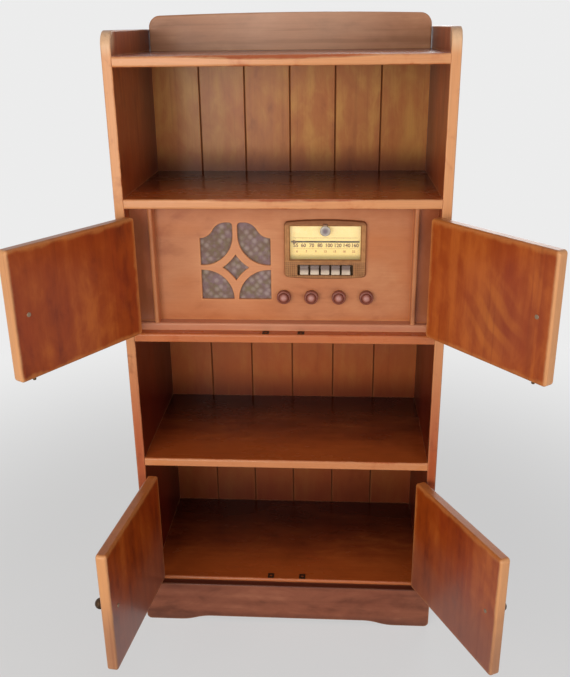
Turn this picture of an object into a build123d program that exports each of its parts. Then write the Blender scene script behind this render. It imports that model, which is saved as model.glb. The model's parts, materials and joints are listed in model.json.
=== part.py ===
"""A stained maple bookcase with a pushbutton radio set behind its upper pair of doors.

Millimetres. X runs to the right, Y to the back and Z up. The origin is the middle of the back at floor
level, where the case meets the wall and the floor. The doors stand open, at the angles named below.
"""

import os
from math import cos, radians, sin, sqrt

from build123d import *

os.makedirs("parts", exist_ok=True)

# Case boards
case_width = 711.0
case_depth = 377.0
side_height = 1407.0
side_stock = 21.0
side_corner = 30.0
side_nose = 3.0

# Shelves, each by the height of its top face above the floor, the topmost by its drop from the sides' top
shelf_stock = 21.0
top_shelf_drop = 49.0
upper_shelf_top = 1072.0
radio_shelf_top = 770.0
middle_shelf_top = 452.0
bottom_shelf_top = 115.0
shelf_nose = 5.0
scoop_length = 503.0
top_scoop = 9.0
upper_scoop = 6.0

# Stopped housings in the sides, and the tongue that each shelf has for them
dado_depth = 6.0
dado_stop = 14.0

# Back boards, tongued and grooved, with a vee at each joint
back_stock = 12.0
back_rabbet = 6.0
board_pitch = 110.5
board_count = 6
board_vee = 2.5
tongue_length = 5.0
tongue_stock = 4.0
groove_clearance = 0.2
cord_hole_radius = 8.0
cord_hole_rise = 60.0

# Crest above the top shelf
crest_stock = 21.0
crest_shoulder = 78.0
crest_crown = 5.0
crest_corner = 27.0
crest_gap = 1.5
crest_nose = 4.0

# Base apron on the front of the case
apron_stock = 20.0
apron_height = 108.0
apron_nose = 3.0
apron_corner = 12.0
foot_length = 85.0
foot_sweep = 80.0
foot_rise = 12.0

# Doors
door_stock = 24.0
door_nose = 5.0
door_corner = 8.0
hinge_gap = 5.5
meeting_gap = 4.0
upper_foot_gap = 9.0
upper_head_gap = 11.5
lower_foot_gap = 6.0
lower_head_gap = 17.0
door_knob_inset = 35.0
open_angles = {
    "upper_left": 121.5,
    "upper_right": 126.5,
    "lower_left": 97.0,
    "lower_right": 116.0,
}

# Butt hinges, planted on the side and on the door's edge
leaf_height = 50.0
leaf_width = 16.0
leaf_stock = 2.0
knuckle_radius = 4.5
pin_radius = 2.0
pin_setout = 6.0
hinge_inset = 32.0
running_gap = 0.06
knuckle_gap = 0.3
knuckle_clearance = 0.5

# Door knobs, their screws and the ball catches
door_knob_radius = 12.0
door_knob_foot = 8.0
door_knob_neck = 6.0
door_knob_flare = 8.0
door_knob_rim = 17.0
door_knob_length = 27.0
screw_radius = 2.0
screw_head_radius = 4.5
screw_head_height = 1.5
screw_bite = 10.0
catch_radius = 3.5
catch_length = 13.0
catch_inset = 12.5
catch_reach = 39.5
catch_clearance = 0.6
strike_width = 15.0
strike_depth = 18.0
strike_stock = 1.0

# Stops and panel in front of the radio
stop_gap = 2.0
sill_height = 16.5
sill_nose = 4.0
bead_width = 10.0
bead_depth = 27.0
bead_nose = 4.0
bead_inset = 52.5
stile_setback = 14.0
stile_nose = 1.5
panel_stock = 7.0

# Loudspeaker fretwork: a cross of curved ribs round an open diamond
speaker_x = -106.5
speaker_rise = 139.0
fret_half_width = 78.0
fret_foot = 73.5
fret_shoulder = 67.0
fret_peak = 102.0
fret_peak_half = 20.0
fret_rib = 11.0
fret_corner = 8.0
diamond_half = 29.5
diamond_hollow = 1.5
fret_bevel = 1.2
cloth_stock = 1.2
cloth_margin = 12.0

# Loudspeaker
speaker_radius = 82.0
flange_width = 18.0
flange_stock = 1.5
surround_stock = 1.0
basket_depth = 46.0
basket_wall = 1.5
basket_seat_radius = 34.0
basket_window_radius = 11.0
basket_window_count = 6
cone_wall = 0.8
cone_depth = 36.0
coil_radius = 13.0
dust_cap_height = 5.0
magnet_radius = 27.0
magnet_length = 40.0
yoke_stock = 4.0

# Dial escutcheon
dial_x = 92.0
dial_rise = 182.5
escutcheon_width = 179.0
escutcheon_height = 124.0
escutcheon_bow = 4.5
escutcheon_corner = 9.0
escutcheon_stock = 8.0
escutcheon_edge = 2.0
rim_width = 5.0
rim_height = 1.5
window_width = 154.0
window_height = 75.5
window_rise = 14.0
window_bevel = 2.5
slot_width = 123.0
slot_height = 24.0
slot_corner = 2.0
slot_drop = 46.2
flute_count = 4
flute_pitch = 4.4
flute_width = 1.8
flute_height = 20.0
flute_depth = 1.2
glass_stock = 2.5
glass_lap = 2.0
opening_margin = 4.0
boss_radius = 11.5
boss_drop = 21.5
boss_stock = 3.0
boss_neck = 9.0
boss_hold = 15.5

# Dial plate and pointer
dial_plate_stock = 1.5
dial_plate_gap = 6.0
track_length = 150.0
track_width = 4.0
pointer_travel = 130.0
pointer_length = 12.0
pointer_height = 9.0
pointer_stock = 1.5
pointer_clearance = 0.6
carriage_length = 10.0
carriage_height = 8.0
carriage_stock = 4.0

# Station buttons
button_count = 5
button_pitch = 23.0
button_width = 18.6
button_height = 19.5
button_depth = 14.0
button_proud = 2.0
button_scoop = 7.0
button_lip = 3.0
button_ease = 0.9
button_travel = 4.0
stem_width = 3.0
stem_height = 8.0
stem_clearance = 0.4

# Control knobs
control_names = ("volume", "tone", "band", "tuning")
control_pitch = 61.3
control_drop = 109.5
control_radius = 15.5
control_skirt = 8.0
control_round = 3.5
control_groove = 1.2
control_length = 20.0
control_gap = 1.5
shaft_radius = 3.175
shaft_tail = 22.0
shaft_clearance = 0.06
shaft_grip = 13.0
panel_hole_radius = 6.0

# How far round a line the edges on it are picked up
pick_margin = 0.1

# Radio chassis and what stands on it
chassis_left = -14.0
chassis_right = 250.0
chassis_depth = 250.0
chassis_height = 96.0
chassis_wall = 1.5
chassis_setback = 4.0
tube_radius = 17.0
tube_base_radius = 15.0
tube_base_height = 20.0
tube_height = 88.0
tube_pitch = 58.0
transformer_width = 66.0
transformer_depth = 56.0
transformer_height = 72.0
transformer_corner = 6.0

# Faces and lines that follow from the sizes
front = -case_depth
top_shelf_top = side_height - top_shelf_drop
inner_width = case_width - 2 * side_stock
inner_half = inner_width / 2
shelf_depth = case_depth - back_stock
stop_face = front + door_stock + stop_gap
panel_face = stop_face + bead_depth
panel_back = panel_face + panel_stock
sill_top = radio_shelf_top + sill_height
radio_ceiling = upper_shelf_top - shelf_stock
speaker_z = radio_shelf_top + speaker_rise
dial_z = radio_shelf_top + dial_rise
window_z = dial_z + window_rise
slot_z = dial_z - slot_drop
control_z = dial_z - control_drop
escutcheon_face = panel_face - escutcheon_stock
glass_back = panel_face + glass_stock
dial_plate_face = glass_back + dial_plate_gap
chassis_face = dial_plate_face + dial_plate_stock
chassis_top = radio_shelf_top + chassis_height
door_width = (inner_width - 2 * hinge_gap - meeting_gap) / 2
pin_half = inner_half - hinge_gap / 2
pin_y = front - pin_setout
doors = {
    "upper_left": (-1, radio_shelf_top, upper_foot_gap, radio_ceiling - upper_head_gap),
    "upper_right": (1, radio_shelf_top, upper_foot_gap, radio_ceiling - upper_head_gap),
    "lower_left": (-1, bottom_shelf_top, lower_foot_gap, middle_shelf_top - shelf_stock - lower_head_gap),
    "lower_right": (1, bottom_shelf_top, lower_foot_gap, middle_shelf_top - shelf_stock - lower_head_gap),
}
shelves = {
    "top_shelf": (top_shelf_top, top_scoop),
    "upper_shelf": (upper_shelf_top, upper_scoop),
    "radio_shelf": (radio_shelf_top, 0),
    "middle_shelf": (middle_shelf_top, 0),
    "bottom_shelf": (bottom_shelf_top, 0),
}


def save(piece, name):
    """Label a finished piece and write it to its own file."""
    piece.part.label = name
    export_step(piece.part, f"parts/{name}.step")


def facing(y):
    """The upright plane at depth y that looks to the front: x to the right, y up."""
    return Plane.XZ.offset(-y)


# Sides: rounded at the top front corner, housed for the shelves and rabbeted for the back
for hand, name in ((-1, "left_side"), (1, "right_side")):
    with BuildPart() as side:
        with BuildSketch(Plane.YZ.offset(hand * case_width / 2)):
            with Locations((front / 2, side_height / 2)):
                Rectangle(case_depth, side_height)
            fillet(vertices().group_by(Axis.Y)[-1].sort_by(Axis.X)[0], side_corner)
        extrude(amount=-hand * side_stock)
        fillet(edges().filter_by(Axis.Z).group_by(Axis.Y)[0], side_nose)
        for shelf_top, _ in shelves.values():
            with BuildSketch(Plane.YZ.offset(hand * inner_half)):
                with Locations((front + dado_stop, shelf_top)):
                    Rectangle(shelf_depth - dado_stop, shelf_stock, align=(Align.MIN, Align.MAX))
            extrude(amount=hand * dado_depth, mode=Mode.SUBTRACT)
        with BuildSketch(Plane.YZ.offset(hand * inner_half)):
            with Locations((-back_stock, 0)):
                Rectangle(back_stock, top_shelf_top, align=(Align.MIN, Align.MIN))
        extrude(amount=hand * back_rabbet, mode=Mode.SUBTRACT)
    save(side, name)

# Shelves: tongued into the sides, nosed in front, the two upper ones scooped along the middle
for name, (shelf_top, scoop) in shelves.items():
    with BuildPart() as shelf:
        with BuildSketch(Plane.XY.offset(shelf_top)):
            with Locations((0, front)):
                Rectangle(inner_width, shelf_depth, align=(Align.CENTER, Align.MIN))
            with Locations((0, front + dado_stop)):
                Rectangle(
                    inner_width + 2 * dado_depth, shelf_depth - dado_stop, align=(Align.CENTER, Align.MIN)
                )
        extrude(amount=-shelf_stock)
        fillet(edges().filter_by(Axis.X).group_by(Axis.Y)[0], shelf_nose)
        if scoop:
            half = scoop_length / 2
            sag = scoop / sqrt(2)
            with BuildSketch(Plane(origin=(0, front, shelf_top), x_dir=(1, 0, 0), z_dir=(0, 1, 1))):
                with BuildLine():
                    ThreePointArc((-half, 0), (0, sag), (half, 0))
                    Polyline((half, 0), (half, -sag), (-half, -sag), (-half, 0))
                make_face()
            extrude(amount=shelf_stock, both=True, mode=Mode.SUBTRACT)
    save(shelf, name)

# Back: boards from the floor to the top shelf, tongue in groove, the outer two into the sides' rabbets
inner_joints = [(i - board_count / 2) * board_pitch for i in range(1, board_count)]
joints = [-inner_half - back_rabbet, *inner_joints, inner_half + back_rabbet]
for i in range(board_count):
    left, right = joints[i], joints[i + 1]
    with BuildPart() as board:
        with BuildSketch():
            with Locations(((left + right) / 2, -back_stock / 2)):
                Rectangle(right - left, back_stock)
            inner_corners = vertices().group_by(Axis.Y)[0].sort_by(Axis.X)
            if i == 0:
                inner_corners = inner_corners[-1:]
            if i == board_count - 1:
                inner_corners = inner_corners[:1]
            chamfer(inner_corners, board_vee)
            if i < board_count - 1:
                with Locations((right, -back_stock / 2)):
                    Rectangle(tongue_length, tongue_stock, align=(Align.MIN, Align.CENTER))
            if i > 0:
                with Locations((left, -back_stock / 2)):
                    Rectangle(
                        tongue_length + groove_clearance,
                        tongue_stock + 2 * groove_clearance,
                        align=(Align.MIN, Align.CENTER),
                        mode=Mode.SUBTRACT,
                    )
        extrude(amount=top_shelf_top)
        if i == board_count - 2:
            with Locations(facing(0) * Pos((left + right) / 2, radio_shelf_top + cord_hole_rise)):
                Hole(cord_hole_radius, depth=2 * back_stock)
    save(board, f"back_board_{i + 1}")

# Crest: stands on the top shelf and the ends of the back boards
with BuildPart() as crest:
    with BuildSketch(facing(-crest_stock)):
        half = inner_half - crest_gap
        shoulder = top_shelf_top + crest_shoulder
        with BuildLine():
            Polyline((-half, shoulder), (-half, top_shelf_top), (half, top_shelf_top), (half, shoulder))
            ThreePointArc((half, shoulder), (0, shoulder + crest_crown), (-half, shoulder))
        make_face()
        fillet(vertices().group_by(Axis.Y)[-1], crest_corner)
    extrude(amount=-crest_stock)
    fillet(edges().group_by(Axis.Z)[-1], crest_nose)
save(crest, "crest_rail")

# Apron: planted on the front edges of the sides, cut away between two feet
with BuildPart() as apron:
    with BuildSketch(facing(front)):
        half = case_width / 2
        with BuildLine():
            Line((-half, apron_height), (-half, 0))
            Line((-half, 0), (foot_length - half, 0))
            bend = (foot_length + foot_sweep / 2 - half, foot_rise / 2)
            lower = TangentArc((foot_length - half, 0), bend, tangent=(1, 0))
            upper = TangentArc(bend, (foot_length + foot_sweep - half, foot_rise), tangent=lower % 1)
            Line(upper @ 1, (0, foot_rise))
            mirror(about=Plane.YZ)
            Line((-half, apron_height), (half, apron_height))
        make_face()
        fillet(vertices().group_by(Axis.Y)[0].sort_by(Axis.X)[0], apron_corner)
        fillet(vertices().group_by(Axis.Y)[0].sort_by(Axis.X)[-1], apron_corner)
    extrude(amount=apron_stock)
    fillet(edges().filter_by(Axis.X).group_by(Axis.Z)[-1].sort_by(Axis.Y)[0], apron_nose)
save(apron, "base_apron")

# Sill and beads: the frame that the upper doors close against, standing proud of the panel
with BuildPart() as sill:
    with BuildSketch(Plane.YZ.offset(-inner_half)):
        with Locations((stop_face, radio_shelf_top)):
            Rectangle(panel_back - stop_face, sill_height, align=(Align.MIN, Align.MIN))
        fillet(vertices().group_by(Axis.X)[0].sort_by(Axis.Y)[-1], sill_nose)
    extrude(amount=inner_width)
save(sill, "stop_sill")

bead_outer = inner_half - bead_inset + bead_width
for hand, name in ((-1, "left_bead"), (1, "right_bead")):
    with BuildPart() as bead:
        with BuildSketch(Plane.XY.offset(sill_top)):
            with Locations((hand * (bead_outer - bead_width / 2), stop_face)):
                Rectangle(bead_width, bead_depth, align=(Align.CENTER, Align.MIN))
            fillet(vertices().group_by(Axis.Y)[0], bead_nose)
        extrude(amount=radio_ceiling - sill_top)
    save(bead, name)

for hand, name in ((-1, "left_stile"), (1, "right_stile")):
    with BuildPart() as stile:
        with BuildSketch(Plane.XY.offset(sill_top)):
            with Locations((hand * (bead_outer + inner_half) / 2, stop_face + stile_setback)):
                Rectangle(
                    inner_half - bead_outer, bead_depth - stile_setback, align=(Align.CENTER, Align.MIN)
                )
            fillet(vertices().group_by(Axis.Y)[0], stile_nose)
        extrude(amount=radio_ceiling - sill_top)
    save(stile, name)

# Fretwork openings, drawn about the crossing of the ribs
with BuildSketch() as fretwork:
    rib = fret_rib / 2
    sweep_radius = fret_foot - rib
    rise = fret_peak - fret_shoulder
    run = fret_half_width - fret_peak_half
    with BuildLine():
        Line((-fret_half_width, fret_shoulder), (-fret_half_width, rib))
        Line((-fret_half_width, rib), (-rib - sweep_radius, rib))
        TangentArc((-rib - sweep_radius, rib), (-rib, rib + sweep_radius), tangent=(1, 0))
        Line((-rib, rib + sweep_radius), (-rib, fret_peak))
        Line((-rib, fret_peak), (-fret_peak_half, fret_peak))
        ogee_middle = (-fret_peak_half - run / 2, fret_peak - rise / 2)
        crown = TangentArc((-fret_peak_half, fret_peak), ogee_middle, tangent=(-1, 0))
        TangentArc(ogee_middle, (-fret_half_width, fret_shoulder), tangent=crown % 1)
    make_face()
    fillet(vertices().group_by(Axis.Y)[-1].sort_by(Axis.X)[-1], fret_corner)
    with BuildLine():
        Polyline((-rib - sweep_radius, -rib), (-fret_half_width, -rib), (-fret_half_width, -fret_foot))
        Line((-fret_half_width, -fret_foot), (-rib, -fret_foot))
        TangentArc((-rib - sweep_radius, -rib), (-rib, -fret_foot), tangent=(1, 0))
    make_face()
    mirror(about=Plane.YZ)
    with BuildLine():
        hollow = diamond_half / 2 - diamond_hollow
        corners = [(0, diamond_half), (diamond_half, 0), (0, -diamond_half), (-diamond_half, 0)]
        hollows = [(hollow, hollow), (hollow, -hollow), (-hollow, -hollow), (-hollow, hollow)]
        for corner, inward, following in zip(corners, hollows, corners[1:] + corners[:1]):
            ThreePointArc(corner, inward, following)
    make_face()

# Panel: fretwork on the left, the dial's opening and four shaft holes on the right
opening_width = window_width + 2 * opening_margin
opening_top = window_z + window_height / 2 + opening_margin
opening_bottom = slot_z - slot_height / 2 - opening_margin / 2
control_x = [dial_x + (i - (len(control_names) - 1) / 2) * control_pitch for i in range(len(control_names))]
with BuildPart() as panel:
    with BuildSketch(facing(panel_back)):
        with Locations((0, sill_top)):
            Rectangle(inner_width, radio_ceiling - sill_top, align=(Align.CENTER, Align.MIN))
        with Locations((speaker_x, speaker_z)):
            add(fretwork.sketch, mode=Mode.SUBTRACT)
        with Locations((dial_x, (opening_top + opening_bottom) / 2)):
            Rectangle(opening_width, opening_top - opening_bottom, mode=Mode.SUBTRACT)
        with Locations(*[(x, control_z) for x in control_x]):
            Circle(panel_hole_radius, mode=Mode.SUBTRACT)
    extrude(amount=panel_stock)
    fret_box_left = speaker_x - fret_half_width - fret_bevel
    fret_box_right = speaker_x + fret_half_width + fret_bevel
    fret_edges = edges().group_by(Axis.Y)[0].filter_by_position(Axis.X, fret_box_left, fret_box_right)
    chamfer(fret_edges.filter_by_position(Axis.Z, sill_top + pick_margin, radio_ceiling - pick_margin), fret_bevel)
save(panel, "radio_panel")

with BuildPart() as cloth:
    with BuildSketch(facing(panel_back)):
        with Locations((speaker_x, speaker_z + (fret_peak - fret_foot) / 2)):
            Rectangle(2 * (fret_half_width + cloth_margin), fret_peak + fret_foot + 2 * cloth_margin)
    extrude(amount=-cloth_stock)
save(cloth, "grille_cloth")

# Loudspeaker, turned about its own axis: paper cone, windowed basket and magnet
speaker_face = panel_back + cloth_stock
speaker_centre = speaker_z + (fret_peak - fret_foot) / 2
speaker_axis = Axis((speaker_x, 0, speaker_centre), (0, 1, 0))
speaker_section = Plane(
    origin=(speaker_x, speaker_face, speaker_centre), x_dir=(0, 1, 0), z_dir=(1, 0, 0)
)
flange_inner = speaker_radius - flange_width
with BuildPart() as cone:
    with BuildSketch(speaker_section):
        with BuildLine():
            Polyline(
                (0, flange_inner),
                (0, speaker_radius),
                (surround_stock, speaker_radius),
                (surround_stock, flange_inner),
                (cone_depth, coil_radius),
                (cone_depth, 0),
                (cone_depth - dust_cap_height, 0),
            )
            TangentArc(
                (cone_depth - dust_cap_height, 0), (cone_depth - cone_wall, coil_radius), tangent=(0, 1)
            )
            Line((cone_depth - cone_wall, coil_radius), (0, flange_inner))
        make_face()
    revolve(axis=speaker_axis)
save(cone, "speaker_cone")

basket_front = surround_stock
with BuildPart() as basket:
    with BuildSketch(speaker_section):
        with BuildLine():
            Polyline(
                (basket_front, flange_inner + basket_wall),
                (basket_front, speaker_radius),
                (basket_front + flange_stock, speaker_radius),
                (basket_front + flange_stock, flange_inner + 2 * basket_wall),
                (basket_depth, basket_seat_radius),
                (basket_depth, coil_radius + basket_wall),
                (basket_depth - basket_wall, coil_radius + basket_wall),
                (basket_depth - basket_wall, basket_seat_radius - basket_wall),
                (basket_front, flange_inner + basket_wall),
            )
        make_face()
    revolve(axis=speaker_axis)
    window_ring = (flange_inner + basket_seat_radius) / 2
    with BuildSketch(facing(speaker_face + basket_front + flange_stock)):
        with Locations((speaker_x, speaker_centre)):
            with PolarLocations(window_ring, basket_window_count):
                Circle(basket_window_radius)
    extrude(amount=-(basket_depth - basket_front - flange_stock - 2 * basket_wall), mode=Mode.SUBTRACT)
save(basket, "speaker_basket")

with BuildPart() as magnet:
    with BuildSketch(speaker_section):
        with BuildLine():
            Polyline(
                (basket_depth, 0),
                (basket_depth, basket_seat_radius),
                (basket_depth + yoke_stock, basket_seat_radius),
                (basket_depth + yoke_stock, magnet_radius),
                (basket_depth + yoke_stock + magnet_length, magnet_radius),
                (basket_depth + yoke_stock + magnet_length, 0),
                (basket_depth, 0),
            )
        make_face()
    revolve(axis=speaker_axis)
    fillet(edges().group_by(Axis.Y)[-1], yoke_stock)
save(magnet, "speaker_magnet")

# Escutcheon: bowed top and bottom, a raised rim, bevelled window, button slot and fluted lower corners
with BuildSketch() as escutcheon_outline:
    half_width = escutcheon_width / 2
    half_height = escutcheon_height / 2
    with BuildLine():
        Line((-half_width, -half_height), (-half_width, half_height))
        ThreePointArc((-half_width, half_height), (0, half_height + escutcheon_bow), (half_width, half_height))
        Line((half_width, half_height), (half_width, -half_height))
        ThreePointArc(
            (half_width, -half_height), (0, -half_height - escutcheon_bow), (-half_width, -half_height)
        )
    make_face()
    fillet(vertices(), escutcheon_corner)

rim_floor = escutcheon_face + rim_height
with BuildPart() as escutcheon:
    with BuildSketch(facing(panel_face)):
        with Locations((dial_x, dial_z)):
            add(escutcheon_outline.sketch)
    extrude(amount=escutcheon_stock)
    chamfer(edges().group_by(Axis.Y)[0], escutcheon_edge)
    with BuildSketch(facing(escutcheon_face)) as tray:
        with Locations((dial_x, dial_z)):
            add(escutcheon_outline.sketch)
        offset(amount=-rim_width, kind=Kind.INTERSECTION, mode=Mode.REPLACE)
    extrude(amount=-rim_height, mode=Mode.SUBTRACT)
    with BuildSketch(facing(rim_floor)):
        with Locations((dial_x, window_z)):
            Rectangle(window_width, window_height)
    extrude(amount=-escutcheon_stock, mode=Mode.SUBTRACT)
    window_edges = edges().filter_by_position(Axis.Y, rim_floor - pick_margin, rim_floor + pick_margin)
    window_edges = window_edges.filter_by(GeomType.LINE)
    reach_x = window_width / 2 + pick_margin
    reach_z = window_height / 2 + pick_margin
    window_box = window_edges.filter_by_position(Axis.Z, window_z - reach_z, window_z + reach_z)
    window_box = window_box.filter_by_position(Axis.X, dial_x - reach_x, dial_x + reach_x)
    chamfer(window_box, window_bevel)
    with BuildSketch(facing(rim_floor)):
        with Locations((dial_x, slot_z)):
            RectangleRounded(slot_width, slot_height, slot_corner)
    extrude(amount=-escutcheon_stock, mode=Mode.SUBTRACT)
    flute_reach = (slot_width + window_width) / 4 + window_bevel
    with BuildSketch(facing(rim_floor)):
        for hand in (-1, 1):
            with Locations((dial_x + hand * flute_reach, slot_z)):
                with GridLocations(flute_pitch, 1, flute_count, 1):
                    SlotOverall(flute_height, flute_width, rotation=90)
    extrude(amount=-flute_depth, mode=Mode.SUBTRACT)
save(escutcheon, "escutcheon")

# Boss: a plain domed disc hanging from the escutcheon's upper border on a short neck
boss_z = window_z + window_height / 2 + boss_radius - boss_drop
with BuildPart() as boss:
    with BuildSketch(facing(rim_floor)):
        with Locations((dial_x, boss_z)):
            Circle(boss_radius)
            Rectangle(boss_neck, boss_hold, align=(Align.CENTER, Align.MIN))
    extrude(amount=boss_stock)
    fillet(edges().group_by(Axis.Y)[0], boss_stock * 0.6)
save(boss, "dial_boss")

with BuildPart() as glass:
    with BuildSketch(facing(panel_face)):
        with Locations((dial_x, window_z)):
            Rectangle(window_width + 2 * glass_lap, window_height + 2 * glass_lap)
    extrude(amount=-glass_stock)
save(glass, "dial_glass")

# Dial plate, on the raised front of the chassis, with the track that the pointer slides along
plate_width = window_width + 2 * glass_lap
plate_bottom = window_z - window_height / 2 - glass_lap
plate_top = window_z + window_height / 2 + glass_lap
with BuildPart() as dial_plate:
    with BuildSketch(facing(dial_plate_face)):
        with Locations((dial_x, plate_bottom)):
            Rectangle(plate_width, plate_top - plate_bottom, align=(Align.CENTER, Align.MIN))
        with Locations((dial_x, window_z)):
            Rectangle(track_length, track_width, mode=Mode.SUBTRACT)
    extrude(amount=-dial_plate_stock)
save(dial_plate, "dial_plate")

pointer_x = dial_x - pointer_travel / 2
pointer_front = dial_plate_face - pointer_clearance - pointer_stock
carriage_face = chassis_face + chassis_wall + pointer_clearance
with BuildPart() as pointer:
    with BuildSketch(facing(pointer_front)):
        with Locations((pointer_x, window_z)):
            Polygon(
                (-pointer_length / 2, -pointer_height / 2),
                (pointer_length / 2, 0),
                (-pointer_length / 2, pointer_height / 2),
                align=None,
            )
    extrude(amount=-pointer_stock)
    with BuildSketch(facing(pointer_front + pointer_stock)):
        with Locations((pointer_x - pointer_length / 4, window_z)):
            Rectangle(pointer_length / 3, track_width - 2 * pointer_clearance)
    extrude(amount=pointer_front + pointer_stock - carriage_face)
    with BuildSketch(facing(carriage_face)):
        with Locations((pointer_x - pointer_length / 4, window_z)):
            Rectangle(carriage_length, carriage_height)
    extrude(amount=-carriage_stock)
save(pointer, "dial_pointer")

# Chassis: a steel tray standing on the radio shelf, with a raised front that carries the dial plate
chassis_x = (chassis_left + chassis_right) / 2
chassis_width = chassis_right - chassis_left
button_x = [dial_x + (i - (button_count - 1) / 2) * button_pitch for i in range(button_count)]
with BuildPart() as chassis:
    with BuildSketch(Plane.XY.offset(radio_shelf_top)):
        with Locations((chassis_x, chassis_face)):
            Rectangle(chassis_width, chassis_depth, align=(Align.CENTER, Align.MIN))
    extrude(amount=chassis_height)
    with BuildSketch(Plane.XY.offset(radio_shelf_top)):
        with Locations((chassis_x, chassis_face + chassis_wall)):
            Rectangle(
                chassis_width - 2 * chassis_wall,
                chassis_depth - 2 * chassis_wall,
                align=(Align.CENTER, Align.MIN),
            )
    extrude(amount=chassis_height - chassis_wall, mode=Mode.SUBTRACT)
    with BuildSketch(facing(chassis_face)):
        with Locations((dial_x, chassis_top)):
            Rectangle(plate_width, plate_top - chassis_top, align=(Align.CENTER, Align.MIN))
    extrude(amount=-chassis_wall)
    with BuildSketch(facing(chassis_face)):
        with Locations((dial_x, window_z)):
            Rectangle(track_length, track_width)
        with Locations(*[(x, slot_z) for x in button_x]):
            Rectangle(stem_width + 2 * stem_clearance, stem_height + 2 * stem_clearance)
        with Locations(*[(x, control_z) for x in control_x]):
            Circle(shaft_radius + shaft_clearance)
    extrude(amount=-chassis_wall, mode=Mode.SUBTRACT)
save(chassis, "chassis")

tube_x = chassis_x - transformer_width / 2
tube_y = chassis_face + chassis_depth / 2 + tube_radius
with BuildPart() as tubes:
    with BuildSketch(Plane.XY.offset(chassis_top)):
        with Locations((tube_x, tube_y)):
            with GridLocations(tube_pitch, tube_pitch, 3, 2):
                Circle(tube_base_radius)
    extrude(amount=tube_base_height)
    with BuildSketch(Plane.XY.offset(chassis_top + tube_base_height)):
        with Locations((tube_x, tube_y)):
            with GridLocations(tube_pitch, tube_pitch, 3, 2):
                Circle(tube_radius)
    extrude(amount=tube_height - tube_base_height)
    fillet(edges().group_by(Axis.Z)[-1], tube_radius * 0.8)
save(tubes, "radio_tubes")

with BuildPart() as transformer:
    with BuildSketch(Plane.XY.offset(chassis_top)):
        with Locations((chassis_right - transformer_width * 0.7, chassis_face + chassis_depth * 0.7)):
            RectangleRounded(transformer_width, transformer_depth, transformer_corner)
    extrude(amount=transformer_height)
    fillet(edges().group_by(Axis.Z)[-1], transformer_corner / 2)
save(transformer, "power_transformer")

# Station buttons: caps scooped for the fingertip, each on a flat stem through the chassis front
button_face = escutcheon_face - button_proud
for i, x in enumerate(button_x):
    with BuildPart() as button:
        with BuildSketch(Plane.YZ.offset(x - button_width / 2)):
            foot = slot_z - button_height / 2
            top = (button_face + button_scoop, foot + button_height)
            lip = (button_face, foot + button_lip)
            with BuildLine():
                TangentArc(top, lip, tangent=(0, -1))
                Polyline(lip, (button_face, foot), (button_face + button_depth, foot))
                Polyline((button_face + button_depth, foot), (button_face + button_depth, top[1]), top)
            make_face()
        extrude(amount=button_width)
        fillet(edges().filter_by_position(Axis.Y, button_face - pick_margin, top[0] - pick_margin), button_ease)
        with BuildSketch(facing(button_face + button_depth)):
            with Locations((x, slot_z)):
                Rectangle(stem_width, stem_height)
        extrude(amount=button_face + button_depth - chassis_face - 2 * chassis_wall)
    save(button, f"station_button_{i + 1}")

# Control knobs: a rounded skirt and a domed middle with a groove between them, each pushed on its shaft
knob_back = panel_face - control_gap
for name, x in zip(control_names, control_x):
    control_axis = Axis((x, 0, control_z), (0, -1, 0))
    control_section = Plane(origin=(x, knob_back, control_z), x_dir=(0, -1, 0), z_dir=(-1, 0, 0))
    with BuildPart() as knob:
        with BuildSketch(control_section):
            with BuildLine():
                side = Polyline((0, 0), (0, control_radius), (control_skirt, control_radius))
                shoulder = (control_skirt + control_round, control_radius - control_round)
                TangentArc(side @ 1, shoulder, tangent=(1, 0))
                groove = (shoulder[0] - control_groove, shoulder[1] - control_groove)
                Line(shoulder, groove)
                TangentArc((control_length, 0), groove, tangent=(0, 1))
                Line((control_length, 0), (0, 0))
            make_face()
        revolve(axis=control_axis)
        with BuildSketch(facing(knob_back)):
            with Locations((x, control_z)):
                Circle(shaft_radius + shaft_clearance)
        extrude(amount=shaft_grip, mode=Mode.SUBTRACT)
    save(knob, f"{name}_knob")
    with BuildPart() as shaft:
        with BuildSketch(facing(knob_back - shaft_grip + shaft_clearance)):
            with Locations((x, control_z)):
                Circle(shaft_radius)
        extrude(amount=knob_back - shaft_grip + shaft_clearance - chassis_face - shaft_tail)
    save(shaft, f"{name}_shaft")


def door_plane(hand, angle, height=0.0):
    """Looking down on a door: origin on its hinge pin, x along the door to the free edge."""
    swing = radians(angle)
    return Plane(
        origin=(hand * pin_half, pin_y, height),
        x_dir=(-hand * cos(swing), -sin(swing), 0),
        z_dir=(0, 0, 1),
    )


def face_plane(hand, angle, reach, depth, height):
    """Standing across a door at a reach from its pin: x along the door, y straight out of its face."""
    plan = door_plane(hand, angle, height)
    return Plane(
        origin=plan.from_local_coords((reach, -hand * depth, 0)),
        x_dir=plan.x_dir,
        z_dir=(0, 0, hand),
    )


def hinge_centres(foot, head):
    """Heights of the middles of a door's two hinges."""
    return (foot + hinge_inset + leaf_height / 2, head - hinge_inset - leaf_height / 2)


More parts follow.
